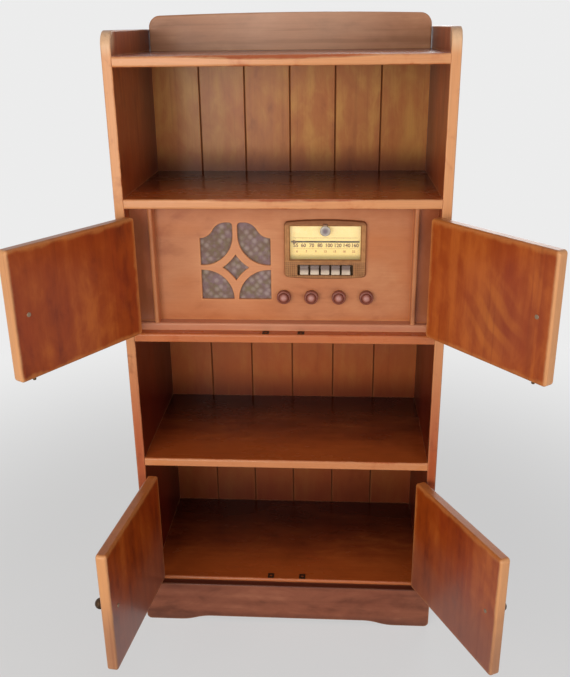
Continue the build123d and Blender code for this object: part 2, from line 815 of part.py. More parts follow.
def hinge_leaf(hand, angle, middle, side_of_pin, knuckles):
    """One leaf of a hinge: a plate beside the pin line and the knuckles that it carries."""
    plate_centre = side_of_pin * (hinge_gap - leaf_stock) / 2
    plate_depth = leaf_width + pin_setout
    with BuildPart() as leaf:
        with BuildSketch(door_plane(hand, angle, middle - leaf_height / 2)):
            with Locations((plate_centre, -hand * plate_depth / 2)):
                Rectangle(leaf_stock, plate_depth)
        extrude(amount=leaf_height)
        for low, high, carried in knuckles:
            with BuildSketch(door_plane(hand, angle, middle + low)):
                Circle(knuckle_radius if carried else knuckle_radius + knuckle_clearance)
            extrude(amount=high - low, mode=Mode.ADD if carried else Mode.SUBTRACT)
        with BuildSketch(door_plane(hand, angle, middle - leaf_height / 2)):
            Circle(pin_radius + running_gap)
        extrude(amount=leaf_height, mode=Mode.SUBTRACT)
    return leaf.part


third = leaf_height / 6
frame_knuckles = (
    (-leaf_height / 2, -third, True),
    (-third, third, False),
    (third, leaf_height / 2, True),
)
door_knuckles = (
    (-leaf_height / 2, knuckle_gap - third, False),
    (knuckle_gap - third, third - knuckle_gap, True),
    (third - knuckle_gap, leaf_height / 2, False),
)

# Doors: a plain board each, with its knob, hinge leaves and ball catch, drawn at the angle it stands open
for name, (hand, sill_z, foot_gap, head) in doors.items():
    angle = open_angles[name]
    inward = -hand
    foot = sill_z + foot_gap
    knob_reach = hinge_gap / 2 + door_width - door_knob_inset
    knob_z = (foot + head) / 2
    catch_x = pin_half - catch_reach
    catch_y = inward * (pin_setout + catch_inset)
    through = face_plane(hand, angle, knob_reach, pin_setout, knob_z)
    knob_axis = Axis(through.origin, -through.y_dir)
    with BuildPart() as door:
        with BuildSketch(door_plane(hand, angle, foot)):
            with Locations((hinge_gap / 2 + door_width / 2, inward * (pin_setout + door_stock / 2))):
                Rectangle(door_width, door_stock)
        extrude(amount=head - foot)
        fillet(edges().filter_by(knob_axis), door_corner)
        faces_across = faces().filter_by(Plane(through.origin, z_dir=through.y_dir))
        fillet(faces_across.edges(), door_nose)
        with BuildSketch(Plane(through.origin, x_dir=through.x_dir, z_dir=through.y_dir)):
            Circle(screw_radius + running_gap)
        extrude(amount=-door_stock, mode=Mode.SUBTRACT)
        with BuildSketch(door_plane(hand, angle, foot)):
            with Locations((catch_x, catch_y)):
                Circle(catch_radius + running_gap)
        extrude(amount=catch_length, mode=Mode.SUBTRACT)
    save(door, f"{name}_door")

    with BuildPart() as door_knob:
        with BuildSketch(through):
            with BuildLine():
                cap = TangentArc((0, door_knob_length), (door_knob_radius, door_knob_rim), tangent=(1, 0))
                under = TangentArc(cap @ 1, (door_knob_neck, door_knob_flare), tangent=cap % 1)
                Polyline(under @ 1, (door_knob_foot, 0), (0, 0), (0, door_knob_length))
            make_face()
        revolve(axis=knob_axis)
        with BuildSketch(Plane(through.origin, x_dir=through.x_dir, z_dir=through.y_dir)):
            Circle(screw_radius + running_gap)
        extrude(amount=screw_bite, mode=Mode.SUBTRACT)
        inner_face = face_plane(hand, angle, knob_reach, pin_setout + door_stock, knob_z)
        with BuildSketch(Plane(inner_face.origin, x_dir=inner_face.x_dir, z_dir=inner_face.y_dir)):
            Circle(screw_radius)
        extrude(amount=door_stock + screw_bite - running_gap)
        with BuildSketch(Plane(inner_face.origin, x_dir=inner_face.x_dir, z_dir=inner_face.y_dir)):
            Circle(screw_head_radius)
        extrude(amount=-screw_head_height)
        fillet(edges().group_by(knob_axis)[-1], screw_head_height * 0.6)
    save(door_knob, f"{name}_door_knob")

    leaves = [hinge_leaf(hand, angle, middle, 1, door_knuckles) for middle in hinge_centres(foot, head)]
    with BuildPart() as fittings:
        add(leaves)
        with BuildSketch(door_plane(hand, angle, foot + catch_length - running_gap)):
            with Locations((catch_x, catch_y)):
                Circle(catch_radius)
        extrude(amount=-(catch_length + foot_gap - strike_stock - catch_clearance - running_gap))
        fillet(edges().group_by(Axis.Z)[0], min(catch_radius, foot_gap - strike_stock) * 0.6)
    save(fittings, f"{name}_door_fittings")

# Hinge leaves on the case, with their pins
frame_leaves = [
    (hand, middle, hinge_leaf(hand, 0, middle, -1, frame_knuckles))
    for hand, sill_z, foot_gap, head in doors.values()
    for middle in hinge_centres(sill_z + foot_gap, head)
]
with BuildPart() as case_hinges:
    for hand, middle, leaf in frame_leaves:
        add(leaf)
        with BuildSketch(door_plane(hand, 0, middle - leaf_height / 2)):
            Circle(pin_radius)
        extrude(amount=leaf_height)
save(case_hinges, "case_hinges")

# Strike plates for the ball catches, on the radio shelf and the bottom shelf
with BuildPart() as strikes:
    for hand, sill_z, foot_gap, head in doors.values():
        with BuildSketch(Plane.XY.offset(sill_z)):
            with Locations((hand * catch_reach, front + catch_inset)):
                Rectangle(strike_width, strike_depth)
                Circle(catch_radius, mode=Mode.SUBTRACT)
        extrude(amount=strike_stock)
save(strikes, "strike_plates")
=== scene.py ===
"""The looks of a stained bookcase with a pushbutton radio behind its upper doors.

The case, the doors and the radio come packed, in metres, with X to the right, Y to the back and Z up.
Here their surfaces get their finishes, and the small pieces that carry no load are made.
"""

import json
import logging
import math
from abc import ABC, abstractmethod
from collections.abc import Sequence
from dataclasses import dataclass
from enum import Enum

import bpy
from mathutils import Matrix, Vector


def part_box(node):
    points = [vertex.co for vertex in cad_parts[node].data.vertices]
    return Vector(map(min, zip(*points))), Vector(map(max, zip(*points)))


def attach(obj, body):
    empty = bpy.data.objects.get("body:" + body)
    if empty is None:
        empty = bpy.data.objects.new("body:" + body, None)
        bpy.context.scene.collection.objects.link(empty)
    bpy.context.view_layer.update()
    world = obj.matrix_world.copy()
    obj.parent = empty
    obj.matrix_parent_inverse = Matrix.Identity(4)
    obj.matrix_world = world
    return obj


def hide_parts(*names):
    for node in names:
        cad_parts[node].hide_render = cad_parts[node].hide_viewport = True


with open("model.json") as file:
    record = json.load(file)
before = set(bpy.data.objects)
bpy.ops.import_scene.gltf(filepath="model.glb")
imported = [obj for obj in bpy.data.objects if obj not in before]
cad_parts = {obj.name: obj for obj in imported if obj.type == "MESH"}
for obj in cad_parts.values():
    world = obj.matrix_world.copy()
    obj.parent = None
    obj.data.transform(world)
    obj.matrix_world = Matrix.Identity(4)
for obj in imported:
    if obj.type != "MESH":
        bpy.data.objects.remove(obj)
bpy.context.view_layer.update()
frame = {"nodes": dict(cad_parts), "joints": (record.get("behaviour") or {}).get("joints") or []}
UNTURNED = Matrix.Identity(4)

log = logging.getLogger("bookcase")

Colour = tuple[int, int, int]
Point = tuple[float, float, float]
Socket = bpy.types.NodeSocket
Feed = Socket | float | Sequence[float]


def linear(colour: Colour) -> Point:
    """Turn a display colour into the linear one that shaders and lamps take.

    Args:
        colour: Red, green and blue, 0 to 255.

    Returns:
        The same colour, linear, 0 to 1.
    """
    shares = [level / 255 for level in colour]
    return tuple(x / 12.92 if x <= 0.04045 else ((x + 0.055) / 1.055) ** 2.4 for x in shares)


class Grain(Enum):
    """Which way the fibres of a board run."""

    ALONG = Matrix.Identity(4)
    UPRIGHT = Matrix.Rotation(math.radians(90), 4, "Y")


class Shader:
    """A material's nodes, laid out by short calls."""

    def __init__(self, name: str) -> None:
        """Start a material with one surface shader.

        Args:
            name: The material's name.
        """
        self.material = bpy.data.materials.new(name)
        self.material.use_nodes = True
        self.tree = self.material.node_tree
        self.tree.nodes.clear()
        self.surface = self.tree.nodes.new("ShaderNodeBsdfPrincipled")
        self.output = self.tree.nodes.new("ShaderNodeOutputMaterial")
        self.join(self.surface.outputs["BSDF"], self.output.inputs["Surface"])

    def join(self, source: Socket, target: Socket) -> None:
        """Link two sockets."""
        self.tree.links.new(source, target)

    def feed(self, target: Socket, value: Feed) -> None:
        """Link a socket, or set it to a number or a colour.

        Args:
            target: The input.
            value: A socket, a number, a vector or a display colour.
        """
        if isinstance(value, bpy.types.NodeSocket):
            self.join(value, target)
        elif target.type == "RGBA":
            target.default_value = (*linear(value), 1.0)
        else:
            target.default_value = value

    def settle(self, **values: Feed) -> None:
        """Set the surface shader's own inputs, named with underscores for spaces."""
        for name, value in values.items():
            self.feed(self.surface.inputs[name.replace("_", " ")], value)

    def node(
        self, kind: str, inputs: dict[str | int, Feed] | None = None, **settings: object
    ) -> bpy.types.Node:
        """Add a node.

        Args:
            kind: The node's type, without its ShaderNode prefix.
            inputs: What its inputs get, by their names or numbers.
            **settings: Its properties.

        Returns:
            The node.
        """
        made = self.tree.nodes.new("ShaderNode" + kind)
        for name, setting in settings.items():
            setattr(made, name, setting)
        for key, value in (inputs or {}).items():
            self.feed(made.inputs[key], value)
        return made

    def place(self, matrix: Matrix = UNTURNED) -> Socket:
        """Object coordinates, moved and turned.

        Args:
            matrix: From the object's frame to the pattern's.

        Returns:
            The coordinates' socket.
        """
        inputs = {
            "Vector": self.node("TexCoord").outputs["Object"],
            "Location": matrix.to_translation(),
            "Rotation": matrix.to_euler("XYZ"),
        }
        return self.node("Mapping", inputs, vector_type="POINT").outputs["Vector"]

    def stretch(self, vector: Socket, factors: Point, shift: Point = (0, 0, 0)) -> Socket:
        """Scale coordinates by a factor for each axis, then move them."""
        inputs = {0: vector, 1: factors, 2: shift}
        return self.node("VectorMath", inputs, operation="MULTIPLY_ADD").outputs["Vector"]

    def axis(self, vector: Socket, letter: str) -> Socket:
        """One axis of a vector, by its letter."""
        return self.node("SeparateXYZ", {0: vector}).outputs[letter]

    def away(self, point: Point) -> Socket:
        """How far each place is from a point, in metres."""
        inputs = {0: self.place(Matrix.Translation(-Vector(point)))}
        return self.node("VectorMath", inputs, operation="LENGTH").outputs["Value"]

    def math(self, operation: str, *values: Socket | float, clamp: bool = False) -> Socket:
        """One step of arithmetic on one to three values, kept from 0 to 1 where it is clamped."""
        inputs = dict(enumerate(values))
        return self.node("Math", inputs, operation=operation, use_clamp=clamp).outputs[0]

    def sway(self, value: Socket, weight: float, base: Socket | float, clamp: bool = False) -> Socket:
        """Add a value's swing about 0.5, times a weight, to a base."""
        return self.math("MULTIPLY_ADD", self.math("SUBTRACT", value, 0.5), weight, base, clamp=clamp)

    def ripple(self, vector: Socket, letter: str, pitch: float) -> Socket:
        """A sine wave along one axis, from -1 to 1, with one turn in each pitch."""
        return self.math("SINE", self.math("MULTIPLY", self.axis(vector, letter), 2 * math.pi / pitch))

    def noise(self, vector: Socket, detail: float, roughness: float, bend: float = 0) -> Socket:
        """Cloudy noise, 0 to 1.

        Args:
            vector: The coordinates, with features of about one unit.
            detail: How many finer layers it has.
            roughness: How strong they are.
            bend: How far the noise warps itself.

        Returns:
            The value.
        """
        inputs = {"Vector": vector, "Scale": 1, "Detail": detail}
        inputs |= {"Roughness": roughness, "Distortion": bend}
        return self.node("TexNoise", inputs, noise_dimensions="3D").outputs["Fac"]

    def step(self, value: Socket, low: float, high: float, start: float = 0, end: float = 1) -> Socket:
        """Carry a value from one range to another, smoothly and clamped.

        Args:
            value: What is carried.
            low: Where the result starts to change.
            high: Where it stops.
            start: The result at low.
            end: The result at high.

        Returns:
            The result.
        """
        names = ("Value", "From Min", "From Max", "To Min", "To Max")
        inputs = dict(zip(names, (value, low, high, start, end)))
        made = self.node("MapRange", inputs, interpolation_type="SMOOTHSTEP", clamp=True)
        return made.outputs["Result"]

    def blend(self, share: Feed, under: Feed, over: Feed, mode: str = "MIX") -> Socket:
        """Mix two colours.

        Args:
            share: How much of the second there is.
            under: The first colour.
            over: The second colour.
            mode: Blender's blend mode.

        Returns:
            The mixed colour.
        """
        settings = {"data_type": "RGBA", "blend_type": mode, "clamp_factor": True}
        return self.node("Mix", {0: share, 6: under, 7: over}, **settings).outputs[2]

    def raise_surface(self, height: Socket, depth: float, strength: float = 1.0) -> None:
        """Give the surface a bump, from a relief of 0 to 1 and the height of 1, in metres."""
        inputs = {"Height": height, "Distance": depth, "Strength": strength}
        self.settle(Normal=self.node("Bump", inputs).outputs["Normal"])

    def edges(self, reach: float) -> Socket:
        """How near the surface is to an edge, 0 on the flat to 1 on the arris.

        Args:
            reach: How far in from the edge it shows, in metres.

        Returns:
            The value.
        """
        rounded = self.node("Bevel", {"Radius": reach}, samples=4).outputs["Normal"]
        flat = self.node("NewGeometry").outputs["True Normal"]
        dot = self.node("VectorMath", {0: rounded, 1: flat}, operation="DOT_PRODUCT")
        flat_cosine = 0.992
        arris_cosine = 0.84
        return self.step(dot.outputs["Value"], flat_cosine, arris_cosine)


class Layer(ABC):
    """Something that changes a colour over part of a surface."""

    @abstractmethod
    def lay(self, shader: Shader, colour: Socket) -> Socket:
        """Lay the change over a colour, and return the new one."""


class Cover(Layer):
    """A layer of one colour, stronger in some places than in others."""

    colour: Colour
    mode: str = "MIX"

    @abstractmethod
    def reach(self, shader: Shader) -> Socket:
        """How much of the layer's colour there is at each point, 0 to 1."""

    def lay(self, shader: Shader, colour: Socket) -> Socket:
        """Lay this colour over another, and return the new one."""
        return shader.blend(self.reach(shader), colour, self.colour, self.mode)


@dataclass(frozen=True)
class Patina(Cover):
    """A change of colour between two places along one axis of the object."""

    axis: str
    start: float
    end: float
    colour: Colour
    most: float = 1.0
    least: float = 0.0
    patches: float = 0.0
    scale: float = 18.0
    mode: str = "MIX"
    turn: Matrix = UNTURNED

    def reach(self, shader: Shader) -> Socket:
        """How much of the colour there is at each point.

        Args:
            shader: The material.

        Returns:
            The share, from its least at the start to its most at the end.
        """
        spot = shader.place(self.turn)
        along = shader.axis(spot, self.axis)
        if self.patches:
            cloud = shader.noise(shader.stretch(spot, (self.scale,) * 3), 3, 0.6, 0.3)
            along = shader.sway(cloud, self.patches, along)
        return shader.step(along, self.start, self.end, self.least, self.most)


@dataclass(frozen=True)
class Halo(Cover):
    """A change of colour round a point, which fades out."""

    centre: Point
    inner: float
    outer: float
    colour: Colour
    most: float = 1.0

    def reach(self, shader: Shader) -> Socket:
        """How much of the colour there is at each point, 0 to its most."""
        return shader.step(shader.away(self.centre), self.inner, self.outer, self.most, 0.0)


@dataclass(frozen=True)
class Shadow(Cover):
    """Painted shade that darkens a board just above a shelf."""

    foot: float
    rise: float
    colour: Colour = (136, 96, 100)
    mode: str = "MULTIPLY"
    most: float = 0.85
    shelf: float = 0.022

    def reach(self, shader: Shader) -> Socket:
        """How dark it is at each point, and nothing below the shelf.

        Args:
            shader: The material.

        Returns:
            The share, 0 to its most.
        """
        height = shader.axis(shader.place(), "Z")
        near = shader.step(height, self.foot, self.foot + self.rise, self.most, 0.0)
        above = shader.math("GREATER_THAN", height, self.foot - self.shelf)
        return shader.math("MULTIPLY", near, above)


@dataclass(frozen=True)
class Reeding(Cover):
    """A stamped lattice of fine ribs below a height, dark in its grooves."""

    top: float
    colour: Colour
    pitch: float = 0.0042
    most: float = 0.7
    fade: float = 0.002

    def reach(self, shader: Shader) -> Socket:
        """How deep in a groove each point is.

        Args:
            shader: The material.

        Returns:
            The share, 0 on the ribs to its most in the grooves.
        """
        spot = shader.place()
        ridges = [shader.ripple(spot, letter, self.pitch) for letter in "XZ"]
        ribs = shader.step(shader.math("MAXIMUM", *ridges), 0.1, 0.9, self.most, 0.0)
        below = shader.step(shader.axis(spot, "Z"), self.top, self.top - self.fade)
        return shader.math("MULTIPLY", ribs, below)


@dataclass(frozen=True)
class Flame(Layer):
    """Flame figure in the wood: slanting bands, dark and bright, within a halo."""

    halo: Halo
    grain: Matrix
    bright: Colour
    pitch: float = 0.036
    slant: float = 38.0
    sunk: float = 0.6

    def lay(self, shader: Shader, colour: Socket) -> Socket:
        """Lay the figure over a colour.

        Args:
            shader: The material.
            colour: The colour under it.

        Returns:
            The new colour.
        """
        spot = shader.place(Matrix.Rotation(math.radians(self.slant), 4, "Y") @ self.grain)
        inputs = {"Vector": shader.stretch(spot, (1.0, 0.5, 0.7)), "Scale": 0.314 / self.pitch}
        inputs |= {"Distortion": 8.0, "Detail": 3.0, "Detail Scale": 0.6}
        settings = {"wave_type": "BANDS", "bands_direction": "X", "wave_profile": "SIN"}
        bands = shader.node("TexWave", inputs, **settings)
        crest = shader.step(bands.outputs["Fac"], 0.25, 0.95)
        reach = self.halo.reach(shader)
        lit = shader.math("MULTIPLY", crest, reach)
        dark = shader.math("MULTIPLY", shader.math("SUBTRACT", 1.0, crest), reach)
        colour = shader.blend(lit, colour, self.bright)
        return shader.blend(shader.math("MULTIPLY", dark, self.sunk), colour, self.halo.colour)


@dataclass(frozen=True)
class StainedWood:
    """Maple under a brown stain and a varnish that is worn along the edges."""

    name: str
    dark: Colour
    middle: Colour
    pale: Colour
    red: Colour
    worn: Colour = (228, 166, 112)
    gloss: float = 0.34
    specular: float = 0.25
    coat: float = 0.16
    wear: float = 0.6
    blotch: float = 1.0
    streak: float = 0.24
    staves: float = 0.0
    wear_reach: float = 0.007
    relief: float = 0.00007

    def cut(
        self,
        board: str,
        grain: Matrix,
        draw: int,
        tone: float = 0.0,
        layers: Sequence[Layer] = (),
    ) -> bpy.types.Material:
        """Make this wood's material for one board.

        Args:
            board: The board's name.
            grain: From the object's frame to one whose X runs along the fibres.
            draw: Which part of the log the board is from.
            tone: How much lighter the board is, from -1 to 1.
            layers: What time has done to parts of its surface, in order.

        Returns:
            The material.
        """
        shader = Shader(f"{self.name}_{board}")
        spot = shader.place(Matrix.Translation((draw * 1.37, draw * 0.53, draw * 0.29)) @ grain)
        cloud = shader.noise(shader.stretch(spot, (4.5, 10, 10)), 4, 0.62, 0.7)
        fibre = shader.noise(shader.stretch(spot, (10, 420, 420)), 2, 0.6)
        streak = shader.noise(shader.stretch(spot, (1.8, 58, 58)), 3, 0.6, 0.25)
        body = shader.math("MULTIPLY_ADD", cloud, self.blotch, 0.5 - self.blotch / 2 + tone * 0.3)
        colour = self._stain(shader, spot, body, streak)
        for layer in layers:
            colour = layer.lay(shader, colour)
        lines = shader.math("MULTIPLY_ADD", fibre, -0.45, 0.25, clamp=True)
        dirt = shader.step(streak, 0.42, 0.3, 0.0, self.streak)
        colour = shader.blend(shader.math("MAXIMUM", lines, dirt), colour, self.dark)

        patchy = shader.noise(shader.stretch(spot, (14, 30, 30)), 3, 0.6)
        patchy = shader.step(patchy, 0.32, 0.62, 0.3, 1.0)
        handled = shader.math("MULTIPLY", shader.edges(self.wear_reach), patchy)
        rubbed = shader.math("MULTIPLY", handled, self.wear)
        smear = shader.noise(shader.stretch(spot, (6, 11, 11), (4, 1, 2)), 4, 0.6)
        polish = shader.math("MULTIPLY_ADD", smear, 0.2, self.gloss - 0.1)
        shader.settle(
            Base_Color=shader.blend(rubbed, colour, self.worn),
            Roughness=shader.math("MULTIPLY_ADD", rubbed, 0.1, polish),
            Specular_IOR_Level=self.specular,
            IOR=1.5,
            Coat_Weight=self.coat,
            Coat_Roughness=0.16,
            Coat_IOR=1.5,
        )
        relief = shader.math("MULTIPLY_ADD", cloud, 2.0, shader.math("MULTIPLY_ADD", fibre, 0.3, streak))
        shader.raise_surface(relief, self.relief)
        return shader.material

    def _stain(self, shader: Shader, spot: Socket, body: Socket, streak: Socket) -> Socket:
        """Figure a board with mottle, streaks, year rings and strips, and colour it.

        Args:
            shader: The material.
            spot: Coordinates with X along the fibres and Z across them.
            body: The tone so far, about 0 to 1.
            streak: The streaks.

        Returns:
            The colour.
        """
        mottle = shader.noise(shader.stretch(spot, (17, 34, 34), (2.2, 5.1, 0.7)), 3, 0.6, 0.5)
        inputs = {"Vector": shader.stretch(spot, (0.11, 1.0, 1.0), (0.03, 0.012, 0.02)), "Scale": 16}
        inputs |= {"Distortion": 5.0, "Detail": 2.0, "Detail Scale": 1.1}
        settings = {"wave_type": "RINGS", "rings_direction": "SPHERICAL", "wave_profile": "SIN"}
        rings = shader.node("TexWave", inputs, **settings).outputs["Fac"]
        body = shader.sway(mottle, self.blotch * 0.55, body)
        body = shader.sway(streak, self.streak, body)
        body = shader.sway(rings, self.streak * 0.4, body)
        if self.staves:
            strip = shader.math("FLOOR", shader.math("DIVIDE", shader.axis(spot, "Z"), self.staves))
            pick = shader.node("TexWhiteNoise", {"W": strip}, noise_dimensions="1D")
            body = shader.sway(pick.outputs["Value"], 0.22, body)
        warmth = shader.noise(shader.stretch(spot, (2.6, 7.0, 7.0), (7.1, 3.3, 1.9)), 3, 0.5, 0.4)
        deep = shader.blend(shader.step(body, 0.14, 0.52), self.dark, self.middle)
        colour = shader.blend(shader.step(body, 0.46, 0.88), deep, self.pale)
        return shader.blend(shader.step(warmth, 0.46, 0.75, 0.0, 0.6), colour, self.red)


@dataclass(frozen=True)
class AgedMetal:
    """Metal with tarnish in its hollows and a brighter arris."""

    name: str
    bright: Colour
    tarnish: Colour
    roughness: float
    cover: float
    grain: float = 900.0
    metallic: float = 0.85
    layers: tuple[Layer, ...] = ()

    def make(self) -> bpy.types.Material:
        """Make the material.

        Returns:
            The material.
        """
        shader = Shader(self.name)
        spot = shader.place()
        cloud = shader.noise(shader.stretch(spot, (75, 75, 75)), 4, 0.65, 0.4)
        speck = shader.noise(shader.stretch(spot, (self.grain,) * 3), 2, 0.6)
        film = shader.sway(speck, 0.35, shader.sway(cloud, 0.9, self.cover), clamp=True)
        rubbed = shader.math("MULTIPLY", shader.edges(0.0009), 0.8)
        film = shader.math("MULTIPLY", film, shader.math("SUBTRACT", 1.0, rubbed), clamp=True)
        colour = shader.blend(film, self.bright, self.tarnish)
        for layer in self.layers:
            colour = layer.lay(shader, colour)
        rough = shader.math("MULTIPLY_ADD", film, 0.3, self.roughness)
        shader.settle(Base_Color=colour, Roughness=rough, Metallic=self.metallic)
        shader.raise_surface(speck, 0.00003)
        return shader.material


@dataclass(frozen=True)
class Moulding:
    """Moulded plastic or paint: one colour, clouded, with dust and small scratches."""

    name: str
    colour: Colour
    cloud: Colour
    roughness: float
    coat: float = 0.0
    glow: float = 0.0
    layers: tuple[Layer, ...] = ()

    def make(self) -> bpy.types.Material:
        """Make the material.

        Returns:
            The material.
        """
        shader = Shader(self.name)
        spot = shader.place()
        mottle = shader.noise(shader.stretch(spot, (60, 60, 60)), 4, 0.6, 0.8)
        scratch = shader.noise(shader.stretch(spot, (1400, 90, 220)), 2, 0.6, 1.5)
        colour = shader.blend(shader.step(mottle, 0.35, 0.75), self.colour, self.cloud)
        for layer in self.layers:
            colour = layer.lay(shader, colour)
        rough = shader.math("MULTIPLY_ADD", scratch, 0.16, self.roughness - 0.05)
        shader.settle(Base_Color=colour, Roughness=rough, Coat_Weight=self.coat, Coat_Roughness=0.12)
        if self.glow:
            shader.settle(Emission_Color=colour, Emission_Strength=self.glow)
        shader.raise_surface(scratch, 0.00002)
        return shader.material


@dataclass(frozen=True)
class WovenCloth:
    """Loudspeaker cloth: a plain weave with a lattice of paler flowers on mixed threads."""

    name: str
    ground: Colour
    olive: Colour
    mauve: Colour
    flower: Colour
    gap: Colour = (40, 30, 26)
    thread: float = 0.0016
    lattice: float = 0.0145

    def make(self) -> bpy.types.Material:
        """Make the material.

        Returns:
            The material.
        """
        shader = Shader(self.name)
        spot = shader.place()
        colour = shader.blend(self._patch(shader, spot, 60, 0.0), self.ground, self.olive)
        colour = shader.blend(self._patch(shader, spot, 48, 3.7), colour, self.mauve)
        diamond = shader.place(Matrix.Rotation(math.radians(45), 4, "Y"))
        flat = shader.stretch(diamond, (1 / self.lattice, 0.0, 1 / self.lattice))
        inputs = {"Vector": flat, "Scale": 1.0, "Randomness": 0.45}
        flowers = shader.node("TexVoronoi", inputs, feature="F1", voronoi_dimensions="3D")
        bloom = shader.step(flowers.outputs["Distance"], 0.6, 0.05, 0.0, 0.5)
        colour = shader.blend(bloom, colour, self.flower)
        crossed = [shader.ripple(spot, letter, self.thread) for letter in "XZ"]
        weave = shader.math("MULTIPLY_ADD", shader.math("MULTIPLY", *crossed), 0.5, 0.5)
        dark = shader.step(weave, 0.0, 0.7, 0.4, 0.0)
        shader.settle(Base_Color=shader.blend(dark, colour, self.gap), Roughness=0.85)
        shader.settle(Specular_IOR_Level=0.15, Sheen_Weight=0.2, Sheen_Roughness=0.5)
        shader.raise_surface(weave, 0.0002, 0.8)
        return shader.material

    @staticmethod
    def _patch(shader: Shader, spot: Socket, scale: float, shift: float) -> Socket:
        """Patches of another thread, 0 to 1."""
        cloud = shader.noise(shader.stretch(spot, (scale,) * 3, (shift,) * 3), 3, 0.65)
        return shader.step(cloud, 0.42, 0.66)


@dataclass(frozen=True)
class Pane:
    """Thin clear glass."""

    name: str
    tint: Colour
    alpha: float

    def make(self) -> bpy.types.Material:
        """Make the material.

        Returns:
            The material.
        """
        shader = Shader(self.name)
        dust = shader.noise(shader.stretch(shader.place(), (120, 120, 120)), 4, 0.6)
        rough = shader.step(dust, 0.4, 0.8, 0.02, 0.12)
        shader.settle(Base_Color=self.tint, Roughness=rough, Alpha=self.alpha, IOR=1.46)
        return shader.material


def dress(node: str, material: bpy.types.Material) -> None:
    """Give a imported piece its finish.

    Args:
        node: The piece's name.
        material: Its finish.
    """
    piece = frame["nodes"][node]
    if not piece.data.materials:
        piece.data.materials.append(material)
    for slot in piece.material_slots:
        slot.material = material
    log.info("dressed %s with %s", node, material.name)


def pick_only(*pieces: bpy.types.Object) -> None:
    """Select these objects and no others, with the first one active."""
    bpy.ops.object.select_all(action="DESELECT")
    for piece in pieces:
        piece.select_set(True)
    bpy.context.view_layer.objects.active = pieces[0]


def joined(pieces: Sequence[bpy.types.Object]) -> bpy.types.Object:
    """Join objects into one, and return it."""
    pick_only(*pieces)
    bpy.ops.object.join()
    return bpy.context.object


def set_home(piece: bpy.types.Object) -> None:
    """Put an object's place, turn and scale into its mesh."""
    pick_only(piece)
    bpy.ops.object.transform_apply(location=True, rotation=True, scale=True)


def block(middle: Sequence[float], size: Sequence[float]) -> bpy.types.Object:
    """Model a box.

    Args:
        middle: Its middle.
        size: How far it reaches along each axis.

    Returns:
        The box.
    """
    bpy.ops.object.select_all(action="DESELECT")
    bpy.ops.mesh.primitive_cube_add(size=1, location=middle)
    box = bpy.context.object
    box.scale = size
    set_home(box)
    return box


def settle_in(
    piece: bpy.types.Object, name: str, material: bpy.types.Material, body: str
) -> None:
    """Name a new piece, finish it and let it move with its body.

    Args:
        piece: The piece, in place.
        name: What it is called.
        material: Its finish.
        body: The body that it moves with.
    """
    piece.name = name
    piece.data.name = name
    piece.data.materials.clear()
    piece.data.materials.append(material)
    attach(piece, body)
    log.info("made %s, %d faces", name, len(piece.data.polygons))


